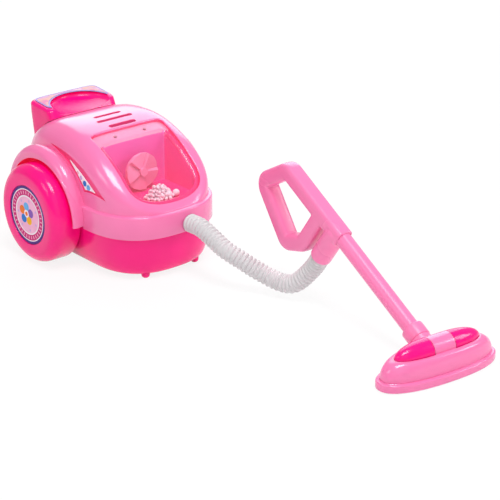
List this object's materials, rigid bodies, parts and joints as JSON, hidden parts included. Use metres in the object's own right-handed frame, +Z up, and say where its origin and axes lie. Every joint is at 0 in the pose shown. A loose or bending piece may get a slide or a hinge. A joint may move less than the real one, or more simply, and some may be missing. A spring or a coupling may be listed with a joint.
{
  "type": "toy vacuum cleaner",
  "caption": "Toy canister vacuum cleaner with domed case, clear bead chamber, big side wheels, ribbed hose and a looped wand with floor nozzle.",
  "frame": {"origin": "on the floor, at the middle of the footprint of canister, wand and nozzle with the hose left out", "axes": "+Z up, +Y from the nozzle back to the canister's rear handle, +X along the wheel axle to the right-hand wheel"},
  "size_m": [0.1366, 0.369, 0.0974],
  "materials": {
    "light_pink": "smooth light pink moulding",
    "hot_pink": "smooth hot pink moulding",
    "clear_window": "clear moulding with a faint pink tint",
    "label": "glossy printed sticker",
    "foam": "white foam",
    "hose_plastic": "soft white-grey plastic",
    "steel": "plated steel",
    "motor_can": "plated can",
    "cell": "plain dark cell jacket",
    "dark_plastic": "dark moulding"
  },
  "bodies": {
    "canister": {"upper_shell": "light_pink", "lower_hull": "hot_pink", "side_badge_left": "label", "side_badge_right": "label", "battery_door": "hot_pink", "front_foot_left": "hot_pink", "front_foot_right": "hot_pink", "window_lens": "clear_window", "dust_chamber": "hot_pink", "window_rivet_left": "hot_pink", "window_rivet_right": "hot_pink", "foam_bead_1": "foam", "foam_bead_2": "foam", "foam_bead_3": "foam", "foam_bead_4": "foam", "foam_bead_5": "foam", "foam_bead_6": "foam", "rear_handle": "hot_pink", "handle_label": "label", "push_nut_left": "steel", "push_nut_right": "steel", "axle": "steel", "motor": "motor_can", "motor_cradle": "light_pink", "battery_cell_1": "cell", "battery_cell_2": "cell", "cell_spring_1": "steel", "cell_spring_2": "steel", "contact_1": "steel", "contact_2": "steel", "contact_bridge": "steel", "switch_housing": "dark_plastic", "case_screw_1": "steel", "case_screw_2": "steel", "case_screw_3": "steel", "case_screw_4": "steel", "hose": "hose_plastic"},
    "left_wheel": {"wheel_left": "hot_pink", "hub_disc_left": "label"},
    "right_wheel": {"wheel_right": "hot_pink", "hub_disc_right": "label"},
    "fan": {"fan_rotor": "light_pink", "motor_shaft": "steel"},
    "switch": {"switch_knob": "dark_plastic"},
    "wand": {"wand_tube": "light_pink", "wand_grip": "light_pink"},
    "nozzle": {"nozzle_shell": "light_pink", "nozzle_cap_left": "hot_pink", "nozzle_cap_right": "hot_pink", "nozzle_sole": "light_pink"}
  },
  "joints": [
    {"name": "wand_sweep", "type": "hinge", "parent": "canister", "child": "wand", "pos_m": [0.00413, 0.04588, 0.0369], "axis": [0, 0, 1], "range_deg": [-22, 22], "deforming": ["hose"]},
    {"name": "nozzle_twist", "type": "hinge", "parent": "wand", "child": "nozzle", "pos_m": [0.0259, -0.14161, 0.0212], "axis": [0.0734, 0.8832, 0.4633], "range_deg": [-90, 90]},
    {"name": "left_wheel_spin", "type": "hinge", "parent": "canister", "child": "left_wheel", "pos_m": [-0.00227, 0.13248, 0.0344], "axis": [1, 0, 0], "continuous": true},
    {"name": "right_wheel_spin", "type": "hinge", "parent": "canister", "child": "right_wheel", "pos_m": [-0.00227, 0.13248, 0.0344], "axis": [1, 0, 0], "continuous": true},
    {"name": "fan_spin", "type": "hinge", "parent": "canister", "child": "fan", "pos_m": [-0.00227, 0.09148, 0.0628], "axis": [0, 1, 0], "continuous": true},
    {"name": "power_switch", "type": "slide", "parent": "canister", "child": "switch", "axis": [1, 0, 0], "range_m": [0, 0.004]}
  ]
}
